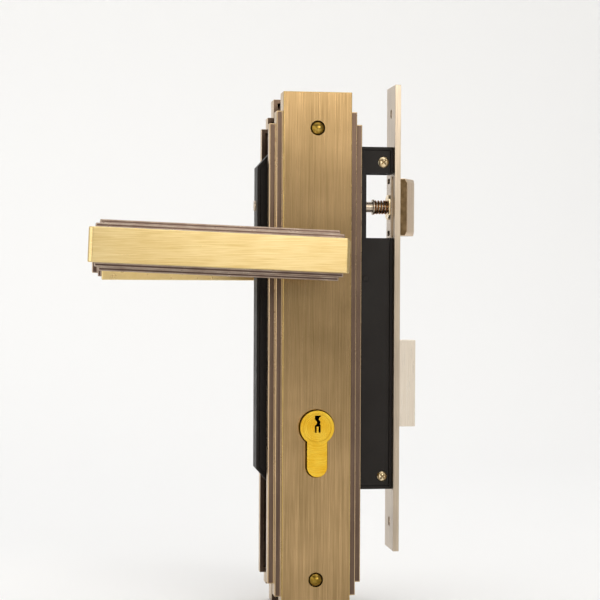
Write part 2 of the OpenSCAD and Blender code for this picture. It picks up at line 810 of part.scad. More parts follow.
module latch_flange() {
    half = latch_t / 2 - 0.1;
    color(steel) difference() {
        block([collar_x, -half, latch_z - latch_h / 2 - 1], [flange_x, half, latch_z + latch_h / 2 + 1]);
        bar_x(latch_z, collar_x - over, flange_x + over, rod_r + 0.02);
        for (z = [latch_z - slot_z, latch_z + slot_z]) {
            for (y = [-slot_half, slot_half])
                translate([0, y, 0]) bar_x(z, collar_x - over, flange_x + over, slot_r);
            block([collar_x - over, -slot_half, z - slot_r], [flange_x + over, slot_half, z + slot_r]);
        }
    }
}

// A ring on the latch rod
module rod_ring(x0, x1, r) {
    difference() {
        bar_x(latch_z, x0, x1, r);
        bar_x(latch_z, x0 - over, x1 + over, rod_r + 0.02);
    }
}

// A round collar with a flat on each side, so that it clears the case's faces
module latch_collar() {
    half = latch_t / 2;
    color(steel) intersection() {
        rod_ring(spring_x, collar_x, 6.4);
        block([spring_x, -half, latch_z - 7], [collar_x, half, latch_z + 7]);
    }
}

module latch_head_spring() {
    color(bronze) coil_x(latch_z, ring_x + 0.05, spring_x - 0.05, rod_r + 0.55, 0.4, 4.5);
}

module latch_ring() { color(steel) rod_ring(ring_x - ring_t, ring_x, rod_r + 1.3); }

module latch_rod() { color(nickel) bar_x(latch_z, case_rear - rod_tail, flange_x, rod_r); }

module latch_yoke() {
    foot = spindle_z + hub_r + 1.6;
    color(steel) difference() {
        union() {
            block([yoke_x - yoke_t, -3.8, foot], [yoke_x, 3.8, latch_z]);
            bar_x(latch_z, yoke_x - yoke_hub_l, yoke_x, rod_r + 2);
        }
        bar_x(latch_z, yoke_x - yoke_hub_l - over, yoke_x + over, rod_r + 0.02);
    }
}

module latch_return_spring() {
    color(spring_steel)
        coil_x(latch_z, inner_back + 0.1, yoke_x - yoke_hub_l - 0.1, rod_r + 0.9, 0.45, 9);
}

module bolt_head() {
    half = bolt_t / 2;
    color("#ebe1cd") difference() {
        block([head_back, -half, bolt_z - bolt_h / 2], [bolt_out, half, bolt_z + bolt_h / 2]);
        block([head_back - over, -tail_t / 2 - 0.03, tail_low - 0.1],
              [tail_front + 0.1, tail_t / 2 + 0.03, tail_top + 0.1]);
        for (z = bolt_rivet_zs) bar_y(bolt_rivet_x, z, -half - over, half + over, rivet_r + 0.03);
    }
}

bolt_rivet_x = (head_back + tail_front) / 2;
bolt_rivet_zs = [tail_top - 7, tail_low + 6];

module bolt_tail() {
    color(steel) difference() {
        slab(-tail_t / 2, tail_t / 2) difference() {
            translate([tail_back, tail_low]) square([tail_front - tail_back, tail_top - tail_low]);
            translate([axis_x - cam_tip_r - cam_play, tail_low - over])
                square([2 * (cam_tip_r + cam_play), notch_top - tail_low + over]);
            for (d = [-bolt_travel, 0, bolt_travel]) translate([detent_x + d, tail_top])
                polygon([[-1.8, over / 2], [0, -detent_d], [1.8, over / 2]]);
        }
        for (p = pin_spots) {
            r = guide_r + guide_play;
            block([p[0] - bolt_travel, -tail_t, p[1] - r], [p[0] + bolt_travel, tail_t, p[1] + r]);
            for (s = [-1, 1]) bar_y(p[0] + s * bolt_travel, p[1], -tail_t, tail_t, r);
        }
        for (z = bolt_rivet_zs) bar_y(bolt_rivet_x, z, -tail_t, tail_t, rivet_r + 0.03);
    }
}

module bolt_rivets() {
    color(steel) for (z = bolt_rivet_zs) bar_y(bolt_rivet_x, z, -bolt_t / 2, bolt_t / 2, rivet_r);
}

forend();
case_tray();
case_lid();
case_screws();
case_posts();
case_rivet();
forend_rivets();
latch_guide();
bolt_guide_pins();
bolt_detent_spring();
detent_anchor();
cylinder_body();
cylinder_screw();
driver_pins();
pin_springs();
front_plate();
rear_plate();
front_bush();
rear_bush();
sleeve_nuts();
through_screws();
front_lever_spring();
rear_lever_spring();
front_lever();
rear_lever();
spindle();
follower();
front_grub_screw();
rear_grub_screw();
front_circlip();
rear_circlip();
front_spring_cam();
rear_spring_cam();
latch_head();
latch_flange();
latch_collar();
latch_head_spring();
latch_ring();
latch_rod();
latch_yoke();
latch_return_spring();
bolt_head();
bolt_tail();
bolt_rivets();
front_plug();
front_key_pins();
front_plug_clip();
cam();
clutch();
rear_plug();
rear_key_pins();
rear_plug_clip();
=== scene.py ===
"""Finishes and fine shapes of a lever handle lockset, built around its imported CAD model.

The frame gives every size and place in metres: X points out of the door edge, Y through the
door to the rear side, Z up. Each sub-assembly is a class that makes its pieces from the CAD
nodes, breaks their edges, dresses them in a finish and says which body they ride on.
"""
import json
import logging
import math
from collections.abc import Callable, Sequence
from dataclasses import dataclass, field
from enum import Enum

import bmesh
import bpy
from mathutils import Matrix, Vector


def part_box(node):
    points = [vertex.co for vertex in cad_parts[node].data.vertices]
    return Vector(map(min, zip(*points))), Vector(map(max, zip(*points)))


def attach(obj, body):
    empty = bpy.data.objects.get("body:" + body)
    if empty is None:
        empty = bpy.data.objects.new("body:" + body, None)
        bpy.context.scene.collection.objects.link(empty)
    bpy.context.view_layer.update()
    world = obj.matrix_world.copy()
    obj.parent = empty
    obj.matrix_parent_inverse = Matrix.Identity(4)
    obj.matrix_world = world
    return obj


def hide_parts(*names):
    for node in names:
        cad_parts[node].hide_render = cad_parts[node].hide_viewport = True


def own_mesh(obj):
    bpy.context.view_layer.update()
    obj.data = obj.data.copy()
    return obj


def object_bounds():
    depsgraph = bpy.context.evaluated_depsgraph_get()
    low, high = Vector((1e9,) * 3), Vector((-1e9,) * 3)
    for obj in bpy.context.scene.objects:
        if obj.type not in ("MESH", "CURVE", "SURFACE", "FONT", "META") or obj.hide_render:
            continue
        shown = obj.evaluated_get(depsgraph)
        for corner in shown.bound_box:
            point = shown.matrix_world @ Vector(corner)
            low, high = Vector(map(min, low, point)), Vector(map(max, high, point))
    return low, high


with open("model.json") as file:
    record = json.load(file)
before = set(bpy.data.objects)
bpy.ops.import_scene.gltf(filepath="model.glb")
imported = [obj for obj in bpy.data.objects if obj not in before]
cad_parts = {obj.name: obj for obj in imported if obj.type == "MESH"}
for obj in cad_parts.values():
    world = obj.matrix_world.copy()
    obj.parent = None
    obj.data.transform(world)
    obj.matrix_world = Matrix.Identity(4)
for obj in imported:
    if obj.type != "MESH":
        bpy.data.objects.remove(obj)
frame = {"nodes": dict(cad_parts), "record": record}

LOG = logging.getLogger("lockset")
MM = 0.001
CAD_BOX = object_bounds()
# Two faces that meet at more than this are a sharp edge
SHARP = math.radians(40)
# Faces that meet at less than this are one flat face
FLAT_WITHIN = math.radians(0.3)
# Corners nearer than this are one corner: of one solid, and across the seams between its tiers
WELD = 0.002 * MM
SEAM_WELD = 0.015 * MM
# The share of a coil's wire, at each end, that lies level
GROUND_END = 0.07
NODES = frame["nodes"]
BODY_OF = {
    node: body for body, nodes in frame["record"]["behaviour"]["bodies"].items() for node in nodes
}


# ---------------------------------------------------------------- colours and shader nodes


def linear(hex_colour: str, alpha: float = 1.0) -> tuple[float, float, float, float]:
    """Turns an sRGB hex colour into linear light.

    Args:
        hex_colour: The colour as six hex digits.
        alpha: The fourth component.

    Returns:
        Red, green, blue and alpha.
    """
    parts = [int(hex_colour[i:i + 2], 16) / 255 for i in (0, 2, 4)]
    red, green, blue = (c / 12.92 if c <= 0.04045 else ((c + 0.055) / 1.055) ** 2.4 for c in parts)
    return red, green, blue, alpha


def add_node(tree: bpy.types.NodeTree, kind: str, inputs: dict | None = None, **settings) -> bpy.types.Node:
    """Adds a node with its settings, values and links.

    Args:
        tree: The tree that the node goes in.
        kind: The node's type name.
        inputs: Values or sockets for the node's inputs, by input name or number.
        settings: Attributes to set on the node before its inputs are filled.

    Returns:
        The new node.
    """
    node = tree.nodes.new(kind)
    for key, value in settings.items():
        setattr(node, key, value)
    for key, value in (inputs or {}).items():
        if isinstance(value, bpy.types.NodeSocket):
            tree.links.new(value, node.inputs[key])
        else:
            node.inputs[key].default_value = value
    return node


def new_material(name: str) -> tuple[bpy.types.Material, bpy.types.NodeTree]:
    """Makes an empty material.

    Args:
        name: The finish's name.

    Returns:
        The material and its cleared node tree.
    """
    material = bpy.data.materials.new(name)
    material.use_nodes = True
    material.node_tree.nodes.clear()
    return material, material.node_tree


def close_material(tree: bpy.types.NodeTree, shader: bpy.types.Node) -> None:
    """Links a shader to the material's output.

    Args:
        tree: The material's tree.
        shader: The last shader node.
    """
    add_node(tree, "ShaderNodeOutputMaterial", {"Surface": shader.outputs["BSDF"]})


# ---------------------------------------------------------------- finishes


class Axis(Enum):
    """An axis of the frame, as its place in a vector."""

    X = 0
    Y = 1
    Z = 2


class Face(Enum):
    """What a face of a piece is, once its edges are broken."""

    FLAT = 0
    EDGE = 1
    ROOT = 2


def ramp(
    tree: bpy.types.NodeTree, value: bpy.types.NodeSocket, low: float, high: float,
    to_low: float = 0.0, to_high: float = 1.0,
) -> bpy.types.NodeSocket:
    """Spreads a span of a value over another span.

    Args:
        tree: The material's tree.
        value: The value.
        low: The value that gives to_low.
        high: The value that gives to_high.
        to_low: The result at low.
        to_high: The result at high.

    Returns:
        The spread value.
    """
    return add_node(tree, "ShaderNodeMapRange", {
        "Value": value, "From Min": low, "From Max": high, "To Min": to_low, "To Max": to_high,
    }).outputs["Result"]


def noise(
    tree: bpy.types.NodeTree, place: bpy.types.NodeSocket, size_mm: float, detail: float = 2.0,
    roughness: float = 0.5,
) -> bpy.types.NodeSocket:
    """Makes a cloudy value.

    Args:
        tree: The material's tree.
        place: The point's place, in metres.
        size_mm: The clouds' size.
        detail: How many finer layers are added.
        roughness: How strong the finer layers are.

    Returns:
        A value about 0.5.
    """
    return add_node(tree, "ShaderNodeTexNoise", {
        "Vector": place, "Scale": 1 / (size_mm * MM), "Detail": detail, "Roughness": roughness,
    }).outputs["Fac"]


def blend(
    tree: bpy.types.NodeTree, share: bpy.types.NodeSocket, first: object, second: object
) -> bpy.types.NodeSocket:
    """Mixes two colours.

    Args:
        tree: The material's tree.
        share: How much of the second colour is seen.
        first: The first colour or socket.
        second: The second colour or socket.

    Returns:
        The mixed colour.
    """
    return add_node(
        tree, "ShaderNodeMix", {0: share, 6: first, 7: second}, data_type="RGBA"
    ).outputs[2]


@dataclass(frozen=True)
class BrushedMetal:
    """Metal rubbed with an abrasive belt, so fine strokes run one way and spread the highlight."""

    name: str
    dark: str
    light: str
    stain: str
    roughness: float
    brush: Axis = Axis.Z
    # Strokes are drawn a little coarser than a real 180 grit belt leaves them, to show
    stroke_width_mm: float = 0.32
    stroke_length_mm: float = 30.0
    stroke_depth_mm: float = 0.009
    band_width_mm: float = 2.2
    cloud_mm: float = 22.0
    stain_mm: float = 13.0
    # The share of the noise above which the toning shows as a stain
    stain_from: float = 0.74
    # How much the broad bands and the clouds count beside the fine strokes
    band_share: float = 0.22
    cloud_share: float = 0.22
    spread: float = 0.0

    def build(self) -> bpy.types.Material:
        """Builds the material.

        Returns:
            The brushed metal.
        """
        material, tree = new_material(self.name)
        place = add_node(tree, "ShaderNodeTexCoord").outputs["Object"]

        def strokes(width_mm: float, length_mm: float, detail: float) -> bpy.types.NodeSocket:
            """Makes noise stretched along the brush.

            Args:
                width_mm: The strokes' width.
                length_mm: The strokes' length.
                detail: How many finer layers are added.

            Returns:
                A value about 0.5.
            """
            scale = [1 / (width_mm * MM)] * 3
            scale[self.brush.value] = 1 / (length_mm * MM)
            stretched = add_node(tree, "ShaderNodeMapping", {"Vector": place, "Scale": scale})
            return add_node(tree, "ShaderNodeTexNoise", {
                "Vector": stretched.outputs["Vector"], "Scale": 1.0, "Detail": detail, "Roughness": 0.62,
            }).outputs["Fac"]

        fine = strokes(self.stroke_width_mm, self.stroke_length_mm, 3.0)
        bands = strokes(self.band_width_mm, 3 * self.stroke_length_mm, 2.0)
        clouds = noise(tree, place, self.cloud_mm)
        toned = add_node(
            tree, "ShaderNodeMix", {0: self.band_share, 2: fine, 3: bands}, data_type="FLOAT"
        ).outputs[0]
        toned = add_node(
            tree, "ShaderNodeMix", {0: self.cloud_share, 2: toned, 3: clouds}, data_type="FLOAT"
        ).outputs[0]
        colour = blend(tree, ramp(tree, toned, 0.36, 0.64), linear(self.dark), linear(self.light))
        spots = noise(tree, place, self.stain_mm, 5.0, 0.6)
        patch = ramp(tree, spots, self.stain_from, self.stain_from + 0.12)
        colour = blend(tree, patch, colour, linear(self.stain))
        gloss = ramp(tree, fine, 0.25, 0.75, self.roughness + 0.06, self.roughness - 0.06)
        relief = add_node(
            tree, "ShaderNodeBump", {"Height": fine, "Distance": self.stroke_depth_mm * MM, "Strength": 1.0}
        )
        inputs = {
            "Base Color": colour, "Metallic": 1.0, "Roughness": gloss, "Normal": relief.outputs["Normal"],
            "Anisotropic": self.spread,
        }
        if self.spread:
            inputs["Tangent"] = add_node(
                tree, "ShaderNodeTangent", direction_type="RADIAL", axis=self.brush.name
            ).outputs["Tangent"]
        close_material(tree, add_node(tree, "ShaderNodeBsdfPrincipled", inputs))
        return material


@dataclass(frozen=True)
class PowderCoat:
    """Powder paint baked on sheet steel: matt black with a fine even grain."""

    name: str
    colour: str
    speck: str
    roughness: float = 0.5
    sheen: float = 0.3
    grain_mm: float = 0.45
    grain_depth_mm: float = 0.05

    def build(self) -> bpy.types.Material:
        """Builds the material.

        Returns:
            The powder coat.
        """
        material, tree = new_material(self.name)
        place = add_node(tree, "ShaderNodeTexCoord").outputs["Object"]
        grain = noise(tree, place, self.grain_mm, 2.0, 0.55)
        wide = noise(tree, place, 26.0, 3.0, 0.6)
        colour = blend(tree, ramp(tree, grain, 0.45, 0.75), linear(self.colour), linear(self.speck))
        relief = add_node(
            tree, "ShaderNodeBump", {"Height": grain, "Distance": self.grain_depth_mm * MM, "Strength": 1.0}
        )
        close_material(tree, add_node(tree, "ShaderNodeBsdfPrincipled", {
            "Base Color": colour, "Normal": relief.outputs["Normal"], "Specular IOR Level": self.sheen,
            "Roughness": ramp(tree, wide, 0.3, 0.7, self.roughness - 0.06, self.roughness + 0.08),
        }))
        return material


@dataclass(frozen=True)
class TurnedMetal:
    """Metal faced on a lathe, so faint rings run round an axis along Y."""

    name: str
    dark: str
    light: str
    roughness: float
    centre: tuple[float, float]
    ring_mm: float = 0.4
    ring_depth_mm: float = 0.006

    def build(self) -> bpy.types.Material:
        """Builds the material.

        Returns:
            The turned metal.
        """
        material, tree = new_material(self.name)
        place = add_node(tree, "ShaderNodeTexCoord").outputs["Object"]
        centred = add_node(
            tree, "ShaderNodeMapping", {"Vector": place, "Location": (-self.centre[0], 0.0, -self.centre[1])}
        )
        flat = add_node(
            tree, "ShaderNodeVectorMath", {0: centred.outputs["Vector"], 1: (1.0, 0.0, 1.0)},
            operation="MULTIPLY",
        )
        radius = add_node(tree, "ShaderNodeVectorMath", {0: flat.outputs["Vector"]}, operation="LENGTH")
        rings = add_node(
            tree, "ShaderNodeTexNoise",
            {"W": radius.outputs["Value"], "Scale": 1 / (self.ring_mm * MM), "Detail": 2.0},
            noise_dimensions="1D",
        ).outputs["Fac"]
        clouds = noise(tree, place, 7.0)
        share = add_node(tree, "ShaderNodeMix", {0: 0.5, 2: rings, 3: clouds}, data_type="FLOAT").outputs[0]
        colour = blend(tree, ramp(tree, share, 0.35, 0.65), linear(self.dark), linear(self.light))
        relief = add_node(
            tree, "ShaderNodeBump", {"Height": rings, "Distance": self.ring_depth_mm * MM, "Strength": 1.0}
        )
        close_material(tree, add_node(tree, "ShaderNodeBsdfPrincipled", {
            "Base Color": colour, "Metallic": 1.0, "Normal": relief.outputs["Normal"],
            "Roughness": ramp(tree, rings, 0.3, 0.7, self.roughness - 0.04, self.roughness + 0.06),
        }))
        return material


@dataclass(frozen=True)
class CastMetal:
    """Cast, plated or patinated metal with a soft cloudy sheen and no strokes."""

    name: str
    dark: str
    light: str
    roughness: float
    cloud_mm: float = 3.0
    pit_depth_mm: float = 0.012
    metallic: float = 1.0

    def build(self) -> bpy.types.Material:
        """Builds the material.

        Returns:
            The cast metal.
        """
        material, tree = new_material(self.name)
        place = add_node(tree, "ShaderNodeTexCoord").outputs["Object"]
        clouds = noise(tree, place, self.cloud_mm, 4.0, 0.6)
        colour = blend(tree, ramp(tree, clouds, 0.35, 0.65), linear(self.dark), linear(self.light))
        relief = add_node(
            tree, "ShaderNodeBump", {"Height": clouds, "Distance": self.pit_depth_mm * MM, "Strength": 1.0}
        )
        close_material(tree, add_node(tree, "ShaderNodeBsdfPrincipled", {
            "Base Color": colour, "Metallic": self.metallic, "Normal": relief.outputs["Normal"],
            "Roughness": ramp(tree, clouds, 0.3, 0.7, self.roughness + 0.06, self.roughness - 0.05),
        }))
        return material


class Finishes:
    """Every finish of the lockset, built once."""

    def __init__(self) -> None:
        """Builds the materials."""
        low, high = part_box("front_plug")
        plug_axis = ((low.x + high.x) / 2, (low.z + high.z) / 2)
        # Brass plate, belt brushed upright and toned to an antique brown, then lacquered
        self.plate_face = BrushedMetal(
            "brushed_antique_brass", "917851", "c0a074", "765e3e", 0.31, stroke_width_mm=0.24, spread=0.7
        ).build()
        # The treads keep more of the toning, because the belt only grazes them
        self.plate_tread = BrushedMetal(
            "toned_brass_tread", "58483e", "786456", "44352b", 0.34, stroke_length_mm=60.0
        ).build()
        # Painted shade: a near-black finish on the rounded inner corners, for the shade that gathers there,
        # on top of the toning that stays in the corners
        self.plate_root_shade = CastMetal("toned_brass_corner_shade", "22140e", "3a281c", 0.5, 8.0, 0.002).build()
        # Edges where the toning is rubbed off and the brass shines, made paler still as a painted highlight:
        # the first for the tiers' sides and deeper rounded edges, the second for those near the face
        self.rubbed_edge_highlight = CastMetal("rubbed_brass_edge_highlight", "c0a680", "caae8a", 0.28, 9.0, 0.001).build()
        self.face_edge_highlight = CastMetal("rubbed_face_edge_highlight", "b0945c", "c0a468", 0.28, 9.0, 0.001).build()
        # Lever face, belt brushed lengthwise to a pale gold
        self.lever_face = BrushedMetal(
            "brushed_pale_gold", "ccae70", "e8d29c", "bc9a5c", 0.33, Axis.X, stroke_length_mm=14.0,
            stroke_width_mm=0.24, band_share=0.12, spread=0.6,
        ).build()
        # Painted highlight: a gold a little paler than the face, on the face's upper and lower rounded edges
        # and the inner tier's rim
        self.lever_edge_highlight = CastMetal("gold_edge_highlight", "dcc48a", "e6d09c", 0.3, 9.0, 0.001).build()
        self.lever_tread = BrushedMetal(
            "toned_gold_tread", "4a3b36", "66544c", "3a2c28", 0.34, Axis.X, stroke_length_mm=50.0
        ).build()
        # Painted highlight: a light mauve on the middle tiers' rounded edges, paler than their treads
        self.lever_rim_highlight = CastMetal("toned_gold_edge_highlight", "927e70", "b2a090", 0.3, 9.0, 0.001).build()
        # Painted shade: a near-black finish on the lever's rounded inner corners, for the shade that gathers
        # there, over the toning of the treads
        self.lever_root_shade = CastMetal("toned_gold_corner_shade", "2a1b17", "44332b", 0.5, 9.0, 0.002).build()
        # Black polyester powder on steel sheet
        self.powder = PowderCoat("black_powder_coat", "0a0502", "20140c").build()
        # Satin nickel plating on brushed steel
        self.nickel = BrushedMetal(
            "satin_nickel_plate", "aa9c8c", "cfbfaa", "988b7a", 0.32, stroke_length_mm=20.0
        ).build()
        self.bolt = BrushedMetal(
            "ground_nickel_bolt", "dccfbe", "f4eadc", "d0c3b0", 0.30, stroke_width_mm=0.5
        ).build()
        # Bronzed zinc casting in two copies chosen by which way a face looks: a dark one, painted shade, on
        # the faces turned from the light, and a pale one, painted light, on the slope and every rounded edge
        self.latch_side_shade = CastMetal("bronzed_casting_shade", "54432c", "705c42", 0.42, cloud_mm=4.0).build()
        self.latch_slope_light = BrushedMetal(
            "bronzed_slope_light", "c8ad90", "e8d2b6", "b89c80", 0.30, stroke_length_mm=40.0
        ).build()
        # Brass bar drawn to the euro profile, its ends faced on a lathe
        self.brass = TurnedMetal("turned_yellow_brass", "eaaf22", "fbd44e", 0.26, plug_axis).build()
        # The keyway's walls: a near-black brass, painted shade in the narrow slot
        self.keyway = CastMetal("brass_keyway_shade", "1a1206", "34260e", 0.5, cloud_mm=1.5).build()
        self.dome = CastMetal("antique_bronze_dome", "7c6220", "b8984a", 0.3, 2.0, 0.004).build()
        self.steel = CastMetal("zinc_plated_steel", "8f8d88", "bcb9b2", 0.34).build()
        self.yellow_zinc = CastMetal("yellow_passivated_steel", "e0c496", "fff0cc", 0.26).build()
        # Painted shade: a darker brown in the screws' cross recesses
        self.recess = CastMetal("screw_recess_shade", "5c4a30", "8a7250", 0.4, cloud_mm=1.5).build()
        self.spring = CastMetal("drawn_spring_wire", "5c5852", "8e8a82", 0.3, cloud_mm=1.5).build()
        self.bronze = CastMetal("pin_bronze", "6e4526", "a87c50", 0.26, cloud_mm=1.5).build()
        # Moulded nylon, waxy and slightly soft to the light
        self.nylon = CastMetal("moulded_nylon", "cfcabc", "e2ddd0", 0.45, metallic=0.0).build()


# ---------------------------------------------------------------- mesh tools


@dataclass(frozen=True)
class Round:
    """How far one set of sharp edges is rounded."""

    radius_mm: float
    segments: int
    test: Callable[[bmesh.types.BMEdge], bool]
    clamp: bool = True


def everywhere(_edge: bmesh.types.BMEdge) -> bool:
    """Takes every edge."""
    return True


def is_root(face: bmesh.types.BMFace) -> bool:
    """Says whether a rounded strip fills an inner corner.

    Args:
        face: A face that the rounding made.

    Returns:
        True for an inner corner.
    """
    bends = [e for e in face.edges if len(e.link_faces) == 2 and e.calc_face_angle(0.0) > 0.08]
    return sum(not e.is_convex for e in bends) > sum(e.is_convex for e in bends)


def settle(piece: bpy.types.Object) -> None:
    """Turns a piece's modifiers into its mesh.

    Args:
        piece: The object, which ends with a plain mesh.
    """
    graph = bpy.context.evaluated_depsgraph_get()
    graph.update()
    mesh = bpy.data.meshes.new_from_object(
        piece.evaluated_get(graph), preserve_all_data_layers=True, depsgraph=graph
    )
    piece.modifiers.clear()
    old = piece.data
    piece.data = mesh
    mesh.name = piece.name
    bpy.data.meshes.remove(old)


def enrol(piece: bpy.types.Object, node: str) -> None:
    """Says which node a piece stands for and its body.

    Args:
        piece: The piece.
        node: The CAD node.
    """
    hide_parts(node)
    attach(piece, BODY_OF[node])
    LOG.info("%s: %d faces, stands for %s", piece.name, len(piece.data.polygons), node)


def soften(
    node: str,
    name: str,
    materials: Sequence[bpy.types.Material],
    rounds: Sequence[Round] | float = 0.3,
    choose: Callable[[Vector, Vector, Face], int] | None = None,
) -> bpy.types.Object:
    """Makes a copy of a CAD node with its edges rounded, and lets it stand for the node.

    Args:
        node: The CAD node.
        name: The new piece's name.
        materials: The piece's finishes, in slot order.
        rounds: The roundings in order, or one radius in mm for every sharp edge.
        choose: Gives a face's finish from its middle, its normal and its kind, or None.

    Returns:
        The new piece, riding on the node's body.
    """
    if isinstance(rounds, float):
        rounds = [Round(rounds, 2, everywhere)]
    work = bmesh.new()
    work.from_mesh(NODES[node].data)
    bmesh.ops.remove_doubles(work, verts=work.verts, dist=SEAM_WELD)
    bmesh.ops.dissolve_limit(
        work, angle_limit=FLAT_WITHIN, verts=work.verts, edges=work.edges, delimit={"NORMAL"}
    )
    kind = work.faces.layers.int.new("kind")
    for one in rounds:
        work.normal_update()
        sharp = [
            e for e in work.edges
            if len(e.link_faces) == 2 and e.calc_face_angle(0.0) > SHARP and one.test(e)
        ]
        if not sharp:
            continue
        made = bmesh.ops.bevel(
            work, geom=sharp, offset=one.radius_mm * MM, offset_type="OFFSET", segments=one.segments,
            profile=0.5, affect="EDGES", clamp_overlap=one.clamp,
        )["faces"]
        work.normal_update()
        for face in made:
            face[kind] = (Face.ROOT if is_root(face) else Face.EDGE).value
    for face in work.faces:
        face.smooth = True
        if choose:
            face.material_index = choose(face.calc_center_median(), face.normal, Face(face[kind]))
    kinds = [sum(face[kind] == one.value for face in work.faces) for one in Face]
    mesh = bpy.data.meshes.new(name)
    work.to_mesh(mesh)
    work.free()
    LOG.info("%s: %d flat, %d edge and %d corner faces", name, *kinds)
    mesh.attributes.remove(mesh.attributes["kind"])
    mesh.set_sharp_from_angle(angle=SHARP)
    piece = bpy.data.objects.new(name, mesh)
    bpy.context.scene.collection.objects.link(piece)
    for material in materials:
        mesh.materials.append(material)
    weighted = piece.modifiers.new("weighted_normals", "WEIGHTED_NORMAL")
    weighted.keep_sharp = True
    settle(piece)
    enrol(piece, node)
    return piece


def solids(node: str) -> list[tuple[Vector, Vector]]:
    """Finds the separate solids of a CAD node.

    Args:
        node: The CAD node.

    Returns:
        The lowest and highest corner of each solid, from low to high.
    """
    work = bmesh.new()
    work.from_mesh(NODES[node].data)
    bmesh.ops.remove_doubles(work, verts=work.verts, dist=WELD)
    left = set(work.verts)
    boxes = []
    while left:
        heap = [left.pop()]
        points = []
        while heap:
            vert = heap.pop()
            points.append(vert.co.copy())
            for edge in vert.link_edges:
                other = edge.other_vert(vert)
                if other in left:
                    left.remove(other)
                    heap.append(other)
        boxes.append((
            Vector([min(p[i] for p in points) for i in range(3)]),
            Vector([max(p[i] for p in points) for i in range(3)]),
        ))
    work.free()
    return sorted(boxes, key=lambda box: (round(box[0].x, 5), round(box[0].y, 5), round(box[0].z, 5)))


# ---------------------------------------------------------------- pieces that follow a rule


@dataclass
class NodeTree:
    """A Geometry Nodes tree with named sizes, run on points where its piece repeats."""

    name: str
    sizes: dict[str, tuple[str, float | int]]
    group: bpy.types.GeometryNodeTree = field(init=False)
    entry: bpy.types.Node = field(init=False)

    def __post_init__(self) -> None:
        """Makes the tree with its inputs."""
        self.group = bpy.data.node_groups.new(self.name, "GeometryNodeTree")
        self.group.interface.new_socket("Geometry", in_out="OUTPUT", socket_type="NodeSocketGeometry")
        self.group.interface.new_socket("Geometry", in_out="INPUT", socket_type="NodeSocketGeometry")
        for label, (kind, value) in self.sizes.items():
            socket = self.group.interface.new_socket(label, in_out="INPUT", socket_type=kind)
            socket.default_value = value
        self.group.interface.new_socket("Turn", in_out="INPUT", socket_type="NodeSocketVector")
        self.group.interface.new_socket("Material", in_out="INPUT", socket_type="NodeSocketMaterial")
        self.entry = add_node(self.group, "NodeGroupInput")

    def size(self, label: str) -> bpy.types.NodeSocket:
        """Gives one of the tree's inputs.

        Args:
            label: The input's name.

        Returns:
            Its socket.
        """
        return self.entry.outputs[label]

    def maths(self, operation: str, first: object, second: object) -> bpy.types.NodeSocket:
        """Adds a sum.

        Args:
            operation: The Math node's operation.
            first: A number or socket.
            second: A number or socket.

        Returns:
            The result.
        """
        return add_node(
            self.group, "ShaderNodeMath", {0: first, 1: second}, operation=operation
        ).outputs[0]

    def close(self, shape: bpy.types.NodeSocket) -> None:
        """Repeats the shape on the points and ends the tree.

        Args:
            shape: The mesh of one piece.
        """
        smooth = add_node(self.group, "GeometryNodeSetShadeSmooth", {"Geometry": shape})
        points = add_node(self.group, "GeometryNodeMeshToPoints", {"Mesh": self.size("Geometry")})
        placed = add_node(self.group, "GeometryNodeInstanceOnPoints", {
            "Points": points.outputs[0], "Instance": smooth.outputs[0], "Rotation": self.size("Turn"),
        })
        real = add_node(self.group, "GeometryNodeRealizeInstances", {"Geometry": placed.outputs[0]})
        dressed = add_node(self.group, "GeometryNodeSetMaterial", {
            "Geometry": real.outputs[0], "Material": self.size("Material"),
        })
        add_node(self.group, "NodeGroupOutput", {0: dressed.outputs[0]})

    def make(
        self, node: str, name: str, points: Sequence[Vector], sizes: dict[str, float | int],
        turn: tuple[float, float, float], material: bpy.types.Material,
    ) -> bpy.types.Object:
        """Runs the tree and lets the result stand for a node.

        Args:
            node: The CAD node.
            name: The new piece's name.
            points: Where each copy starts.
            sizes: The values of the tree's inputs.
            turn: The rotation of each copy, in radians.
            material: The finish.

        Returns:
            The new piece.
        """
        mesh = bpy.data.meshes.new(name)
        mesh.from_pydata([tuple(p) for p in points], [], [])
        piece = bpy.data.objects.new(name, mesh)
        bpy.context.scene.collection.objects.link(piece)
        modifier = piece.modifiers.new(self.name, "NODES")
        modifier.node_group = self.group
        keys = {
            item.name: item.identifier for item in self.group.interface.items_tree
            if item.item_type == "SOCKET" and item.in_out == "INPUT"
        }
        for label, value in {**sizes, "Turn": turn, "Material": material}.items():
            modifier[keys[label]] = value
        settle(piece)
        enrol(piece, node)
        return piece


